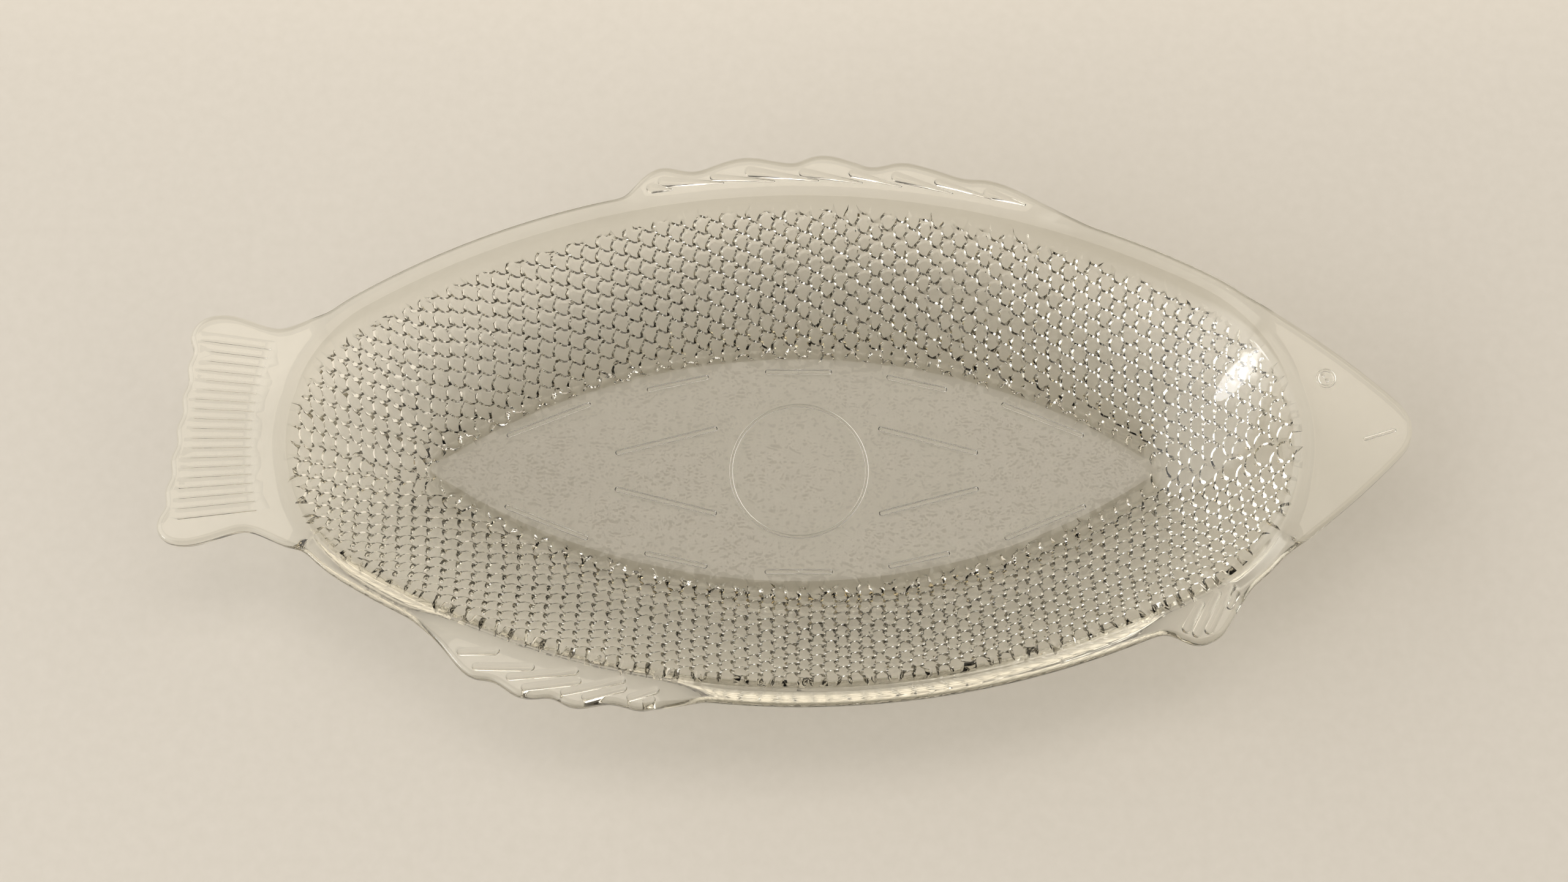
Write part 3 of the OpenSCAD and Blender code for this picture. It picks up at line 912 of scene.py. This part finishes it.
def bar_loop(bar, grow):
    """A line round a bar, at a distance outside or inside its foot."""
    start, end, start_w, end_w = bar[:4]
    start_w, end_w = max(start_w + grow, 0.04), max(end_w + grow, 0.04)
    turn = math.atan2(*(end - start)[::-1])
    caps = headings(turn + np.linspace(-np.pi / 2, np.pi / 2, 8))
    far = end + end_w * caps
    near = start - start_w * caps
    count = int(np.linalg.norm(end - start) / 2.5)
    share = np.linspace(0, 1, count + 2)[1:-1, None]
    sides = far[-1] + (near[0] - far[-1]) * share, near[-1] + (far[0] - near[-1]) * share
    return np.concatenate([far, sides[0], near, sides[1]])


def ring_loop(centre, radius):
    turn = np.linspace(0, 2 * np.pi, max(24, int(radius * 5)), endpoint=False)
    return centre + radius * headings(turn)


for bar in bars:
    bevel = min(bar[5], max(bar[2], bar[3]) - 0.05)
    for grow in (0.08, -0.08, -0.5 * bevel, -bevel):
        lines.append((bar_loop(bar, grow), True))
for centre, radius, half_w, height, bevel in rings:
    for offset in (half_w + 0.06, half_w - 0.06, half_w - bevel):
        lines += [(ring_loop(centre, radius + offset), True), (ring_loop(centre, radius - offset), True)]
for number, root in enumerate(flute_roots):
    offsets = (-0.6, -0.3, -0.12, 0, 0.12, 0.3, 0.6) + ((flute_w / 2,) if number < flute_count else ())
    lines += [(flute_line(root, offset), False) for offset in offsets]


def bar_relief(plan):
    """How far bars and rings stand out under the level parts."""
    deepest = flute_relief(plan)
    for start, end, start_w, end_w, height, bevel in bars:
        along = end - start
        share = np.clip((plan - start) @ along / max(along @ along, 1e-9), 0, 1)
        half_w = start_w + share * (end_w - start_w)
        gap = np.linalg.norm(plan - start - share[:, None] * along, axis=1)
        bite = np.clip((half_w - gap) / np.minimum(bevel, half_w), 0, 1)
        deepest = np.maximum(deepest, height * bite * (2 - bite))
    for centre, radius, half_w, height, bevel in rings:
        gap = np.abs(np.linalg.norm(plan - centre, axis=1) - radius)
        bite = np.clip((half_w - gap) / bevel, 0, 1)
        deepest = np.maximum(deepest, height * bite * (2 - bite))
    return deepest


def under_height(plan):
    return under_base(plan) - bar_relief(plan)


stipple = spread(stipple_pitch, 0.2, floor_l[1] + 4, floor_half_w)
stipple_d = share_in(stipple) * wall_run
around_stipple = [np.array([1, 0]), np.array([-1, 0]), np.array([0, 1]), np.array([0, -1])]
clear = sum(bar_relief(stipple + 0.35 * step) for step in around_stipple) + bar_relief(stipple) == 0
stipple = stipple[(stipple_d > wall_run + 0.8) & clear]
under_plates = loose[(loose_d < -1) & (edge_gap(loose) > 4)]
under_plates = under_plates[bar_relief(under_plates) == 0]
print(len(lines), "lines,", len(stipple), "stipple points")

under_rim = []
for d in (-4.0, -2.6, -1.2, 0.2, 1.4, 2.4):
    row = down_wall(facing, d)
    row_share, row_round = wall_place(row)
    bare = (net_fade(row_share * wall_run, row_round) == 0) & (edge_gap(row) > 1.2) & (bar_relief(row) == 0)
    under_rim.append(row[bare & (gaps_to(net_tree, row) > 0.6)])
under_rim = np.concatenate(under_rim)


def normal_under(height_at, plan, small=0.03):
    """Downward normals of a height curve over plan."""
    along = (height_at(plan + [small, 0]) - height_at(plan - [small, 0])) / (2 * small)
    across = (height_at(plan + [0, small]) - height_at(plan - [0, small])) / (2 * small)
    normal = np.column_stack([along, across, np.full(len(plan), -1.0)])
    return unit(normal)


# %% Triangulate the underside and raise its relief
loop = edge_rings[0]
parts = [points_of(loop)[:, :2], net_plan, stipple, under_plates, under_rim, np.array(corner_points)]
parts += [line for line, _ in lines]
starts = np.cumsum([0] + [len(part) for part in parts])
edges = loop_edges(0, len(loop)) + [(len(loop) + i, len(loop) + j) for i, j in split_edges]
for start, (line, closed) in zip(starts[6:], lines):
    count = len(line) if closed else len(line) - 1
    edges += [(int(start) + i, int(start) + (i + 1) % len(line)) for i in range(count)]
inside = np.concatenate([np.ones(starts[1], bool), net_kept, np.ones(starts[-1] - starts[2], bool)])
used = np.flatnonzero(inside)
renumber = np.cumsum(inside) - 1
edges = [(int(renumber[i]), int(renumber[j])) for i, j in edges]
made, triangles, came_from = triangulate(np.concatenate(parts)[used], edges)
came_from = np.array([used[source] if source >= 0 else -1 for source in came_from])
is_loop = (came_from >= 0) & (came_from < starts[1])
is_net = (came_from >= starts[1]) & (came_from < starts[2])
is_stipple = (came_from >= starts[2]) & (came_from < starts[3])
print("crossings in the underside:", int((came_from < 0).sum()), "net points:", int(is_net.sum()))

plan = made[~is_loop]
base = np.column_stack([plan, under_height(plan)])
normal = normal_under(under_height, plan)
source = came_from[~is_loop] - starts[1]
for i in np.flatnonzero(came_from[~is_loop] < 0):
    nearest = net_tree.find((*plan[i], 0))
    source[i] = nearest[1] if nearest[2] < 0.5 else -1
on_net = np.flatnonzero((source >= 0) & (source < len(net_plan)))
source = source[on_net]
net_normal = normal[on_net]
ones, noughts = np.ones(len(on_net)), np.zeros(len(on_net))
along_x = unit(np.column_stack([ones, noughts, -net_normal[:, 0] / net_normal[:, 2]]))
along_y = unit(np.column_stack([noughts, ones, -net_normal[:, 1] / net_normal[:, 2]]))
fade = net_fade(*(part * scale for part, scale in zip(wall_place(plan[on_net]), (wall_run, 1))))
free = np.column_stack([np.full(len(on_net), -1.0), -0.7 * np.sign(net_seed[source, 1])]) / math.hypot(1, 0.7)
unrolled = np.column_stack([read_grid(unrolled_x, plan[on_net]), read_grid(unrolled_y, plan[on_net])])
proud = np.where(is_crest[source], 0, scale_tip * ((unrolled - net_seed[source]) * free).sum(axis=1))
lean = free * np.where(is_crest[source], 0, -scale_tip * fade)[:, None]
base[on_net] += net_normal * ((scale_h * is_crest[source] + proud) * fade)[:, None]
normal[on_net] += along_x * lean[:, :1] + along_y * lean[:, 1:]
on_crest = np.zeros(len(plan), bool)
on_crest[on_net] = is_crest[source]
of_scale = np.full(len(plan), -1)
of_scale[on_net] = net_scale[source]
stippled = is_stipple[~is_loop]
base[stippled, 2] += rng.uniform(-stipple_h, stipple_h, stippled.sum())
base[:, 2] = np.maximum(base[:, 2], 0)
under_numbers = add_points(base[:, :2], base[:, 2], normal)
name = np.empty(len(made), int)
name[is_loop] = loop[came_from[is_loop]]
name[~is_loop] = under_numbers
mesh_faces.extend(tuple(int(name[corner]) for corner in face[::-1]) for face in triangles)
print("faces in all:", len(mesh_faces), "points:", sum(len(part) for part in mesh_points))

# %% [markdown]
# ## One piece of glass
# The lists become one mesh. Stipple points take the normal that their own triangles give, the sides of
# the little roofs bend evenly round their own scale, and every other corner keeps the normal worked out
# above. The count of open edges has to be nought: glass needs a closed skin, or the renderer can't tell
# inside from outside.

# %% Make the dish
def read_mesh(items, name, kind, width=1):
    """One named value of every point, corner or face of the mesh."""
    values = np.empty(len(items) * width, kind)
    items.foreach_get(name, values)
    return values.reshape(-1, width)


points = np.concatenate(mesh_points)
normals = np.concatenate(mesh_normals)
mesh = bpy.data.meshes.new("pressed_glass_dish")
mesh.from_pydata(((points + [*middle, 0]) * MM).tolist(), [], mesh_faces)
mesh.polygons.foreach_set("use_smooth", np.ones(len(mesh.polygons), bool))
own = read_mesh(mesh.vertices, "normal", np.float32, 3)
by_mesh = under_numbers[stippled]
normals[by_mesh] = own[by_mesh]
agree = (own * normals).sum(axis=1)
crest_point = np.zeros(len(points), bool)
crest_point[under_numbers[on_crest]] = True
point_scale = np.full(len(points), -1)
point_scale[under_numbers] = of_scale
corner_point = read_mesh(mesh.loops, "vertex_index", np.int32)[:, 0]
corner_normal = normals[corner_point]
face_size = np.array([len(face) for face in mesh_faces])
corner_face = np.repeat(np.arange(len(mesh_faces)), face_size)
side_face = np.zeros(len(mesh_faces), bool)
np.logical_or.at(side_face, corner_face, crest_point[corner_point])
face_scale = np.full(len(mesh_faces), -1)
np.maximum.at(face_scale, corner_face, point_scale[corner_point])
pull = read_mesh(mesh.polygons, "normal", np.float32, 3) * read_mesh(mesh.polygons, "area", np.float32)

# A side of a raised line bends evenly round its own scale, and stays sharp against the next scale's side
on_side = np.flatnonzero(side_face[corner_face])
key = corner_point[on_side].astype(np.int64) * (len(seeds) + 1) + face_scale[corner_face[on_side]] + 1
_, group = np.unique(key, return_inverse=True)
group_normal = np.zeros((group.max() + 1, 3))
np.add.at(group_normal, group, pull[corner_face[on_side]])
corner_normal[on_side] = unit(group_normal)[group]
mesh.normals_split_custom_set(corner_normal.tolist())
print("faces on the sides of raised lines:", int(side_face.sum()))
dish = bpy.data.objects.new("pressed_glass_dish", mesh)
bpy.context.scene.collection.objects.link(dish)

skin = bmesh.new()
skin.from_mesh(mesh)
open_edges = sum(not edge.is_manifold for edge in skin.edges)
print("open edges:", open_edges, "triangles:", sum(len(face.verts) - 2 for face in skin.faces))
print("volume:", round(skin.calc_volume() * 1e6, 1), "cm3; normals turned away:", int((agree < 0).sum()))
skin.free()
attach(dish, "root")
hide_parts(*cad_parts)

# %% [markdown]
# ## Pressed soda-lime glass
# Soda-lime glass bends light with an index of about 1.52. It looks colourless across a thin plate and
# faintly cream where light runs a long way through it, so the colour is an absorption inside the glass,
# not a paint. A used dish isn't perfect: the surface is very slightly wavy from the press, and the floor
# has faint scuffs.

# %% Mix the glass
def colour(hex_code):
    """Linear colour from an sRGB hex code."""
    shares = [int(hex_code[i : i + 2], 16) / 255 for i in (1, 3, 5)]
    linear = [s / 12.92 if s <= 0.04045 else ((s + 0.055) / 1.055) ** 2.4 for s in shares]
    return (*linear, 1.0)


def add_node(tree, kind, sockets=None, links=None, **settings):
    """Adds a shader node with its settings, socket values and links."""
    node = tree.nodes.new("ShaderNode" + kind)
    for key, value in settings.items():
        setattr(node, key, value)
    for key, value in (sockets or {}).items():
        node.inputs[key].default_value = value
    for key, source in (links or {}).items():
        tree.links.new(source, node.inputs[key])
    return node


def new_material(name):
    material = bpy.data.materials.new(name)
    material.use_nodes = True
    material.node_tree.nodes.clear()
    return material, material.node_tree


def mottle(tree, place, spot_mm, detail):
    """Soft uneven spots of about the given size."""
    spots = add_node(tree, "TexNoise", {"Scale": 1 / (spot_mm * MM), "Detail": detail}, {"Vector": place})
    return spots.outputs["Fac"]


glass, tree = new_material("clear_pressed_soda_lime_glass")
place = add_node(tree, "TexCoord").outputs["Object"]
wave_mm, scuff_mm, speck_mm = 14, 30, 1.6
wave = mottle(tree, place, wave_mm, 1.0)
scuff = mottle(tree, place, scuff_mm, 4.0)
speck = mottle(tree, place, speck_mm, 3.0)
worn = add_node(tree, "Math", links={0: scuff, 1: speck}, operation="MULTIPLY")
rough = add_node(
    tree,
    "MapRange",
    {"From Min": 0.2, "From Max": 0.45, "To Min": 0.01, "To Max": 0.09},
    {"Value": worn.outputs["Value"]},
)
bump = add_node(tree, "Bump", {"Strength": 0.25, "Distance": 0.12 * MM}, {"Height": wave})
body = add_node(
    tree,
    "BsdfPrincipled",
    {"Base Color": colour("#FBFBF7"), "IOR": 1.52, "Transmission Weight": 1.0},
    {"Roughness": rough.outputs["Result"], "Normal": bump.outputs["Normal"]},
)
tint = add_node(tree, "VolumeAbsorption", {"Color": colour("#FCEDBC"), "Density": 12.0})
add_node(tree, "OutputMaterial", links={"Surface": body.outputs["BSDF"], "Volume": tint.outputs["Volume"]})
mesh.materials.append(glass)
print("glass nodes:", len(tree.nodes))

# %% [markdown]
# ## The floor and the light
# Clear glass has no colour of its own to show. It shows what is under it, bent, and what is around it,
# mirrored. So the dish stands on a plain pale floor, which shows through the level parts and the scales.
# The room is bright to the left, softer to the right, and dim in front, behind and above. The raised
# lines show these sides as white and dark strokes. A ceiling box adds a soft sheen to the level parts, a
# low cream card behind the dish lights the rim on the belly side, and a round lamp to the left, with a
# wide dim one round it, gives the bright spot inside the wall by the head.

# %% Lay the floor
def level_sheet(name, half_sizes, height, finish):
    """A level sheet under the dish, which isn't part of it."""
    sheet_mesh = bpy.data.meshes.new(name)
    signs = ((-1, -1), (1, -1), (1, 1), (-1, 1))
    places = [(x * half_sizes[0], y * half_sizes[1], height) for x, y in signs]
    sheet_mesh.from_pydata(places, [], [(0, 1, 2, 3)])
    sheet_mesh.materials.append(finish)
    sheet = bpy.data.objects.new(name, sheet_mesh)
    bpy.context.scene.collection.objects.link(sheet)


def matt_sheet(name, dark, light, grain_mm, roughness):
    """A matt finish that is faintly mottled and has a fine grain."""
    material, tree = new_material(name)
    place = add_node(tree, "TexCoord").outputs["Object"]
    grain = mottle(tree, place, grain_mm, 3.0)
    tone = add_node(tree, "ValToRGB", links={"Fac": grain})
    for stop, hex_code in zip(tone.color_ramp.elements, (dark, light)):
        stop.color = colour(hex_code)
    tooth = add_node(tree, "Bump", {"Strength": 0.1, "Distance": 0.1 * MM}, {"Height": grain})
    links = {"Base Color": tone.outputs["Color"], "Normal": tooth.outputs["Normal"]}
    matt = add_node(tree, "BsdfPrincipled", {"Roughness": roughness}, links)
    add_node(tree, "OutputMaterial", links={"Surface": matt.outputs["BSDF"]})
    return material


# Painted plaster is matt and nearly even, so the clear glass shows a plain pale ground
floor_gap = 0.3 * MM
level_sheet("pale_floor", (3, 3), -floor_gap, matt_sheet("painted_plaster", "#DED9CF", "#E6E1D8", 4, 0.8))

# %% Light the room
world = bpy.data.worlds.new("room")
bpy.context.scene.world = world
world.use_nodes = True
tree = world.node_tree
backdrop = tree.nodes["Background"]
backdrop.inputs["Strength"].default_value = 2.2
sideways = add_node(tree, "SeparateXYZ", links={"Vector": add_node(tree, "TexCoord").outputs["Generated"]})
across = add_node(tree, "MapRange", {"From Min": -1.0, "From Max": 1.0}, {"Value": sideways.outputs["X"]})
walls = add_node(tree, "ValToRGB", links={"Fac": across.outputs["Result"]})
tones = ((0.2, "#FFFCF8"), (0.33, "#47433D"), (0.67, "#47433D"), (0.8, "#B0A99E"))
while len(walls.color_ramp.elements) < len(tones):
    walls.color_ramp.elements.new(0.5)
for stop, (place, hex_code) in zip(walls.color_ramp.elements, tones):
    stop.position = place
    stop.color = colour(hex_code)
tree.links.new(walls.outputs["Color"], backdrop.inputs["Color"])


def soft_lamp(name, shape, place, target, size, power, hex_code):
    """A large even lamp that faces a target."""
    lamp = bpy.data.lights.new(name, "AREA")
    lamp.shape = shape
    lamp.size, lamp.size_y = size
    lamp.energy = power
    lamp.color = colour(hex_code)[:3]
    box = bpy.data.objects.new(name, lamp)
    box.location = place
    box.rotation_euler = (Vector(target) - Vector(place)).to_track_quat("-Z", "Y").to_euler()
    bpy.context.scene.collection.objects.link(box)


glint = (0.144, 0.019, 0.03)
soft_lamp("ceiling_box", "RECTANGLE", (0.0, 0.43, 1.5), (0, 0, 0), (1.3, 0.6), 4.6, "#FFF8F0")
soft_lamp("cream_card", "RECTANGLE", (0, 0.21, 0.0225), (0, -1, 0.0225), (0.7, 0.045), 0.05, "#FFF1DC")
soft_lamp("glint_lamp", "DISK", (-0.95, -0.5, 0.21), glint, (0.24, 0.24), 1.1, "#FFFFFF")
soft_lamp("glint_halo", "DISK", (-0.97, -0.51, 0.213), glint, (0.5, 0.5), 0.2, "#FFFFFF")
print("lights:", [light.name for light in bpy.data.lights])

# %% [markdown]
# ## The camera
# The photograph looks down steeply from the belly side. Its place was found by matching the dish's
# outline.

# %% Place the camera
target = Vector((-1.8, -5.9, 45.0)) * MM
elevation, distance = math.radians(74), 850 * MM
camera_data = bpy.data.cameras.new("camera")
camera_data.sensor_width = 36
camera_data.lens = 61.26
camera = bpy.data.objects.new("camera", camera_data)
camera.location = target + Vector((0, -math.cos(elevation), math.sin(elevation))) * distance
camera.rotation_euler = (math.pi / 2 - elevation, 0, 0)
bpy.context.scene.collection.objects.link(camera)
bpy.context.scene.camera = camera
bpy.context.scene.view_settings.view_transform = "Standard"
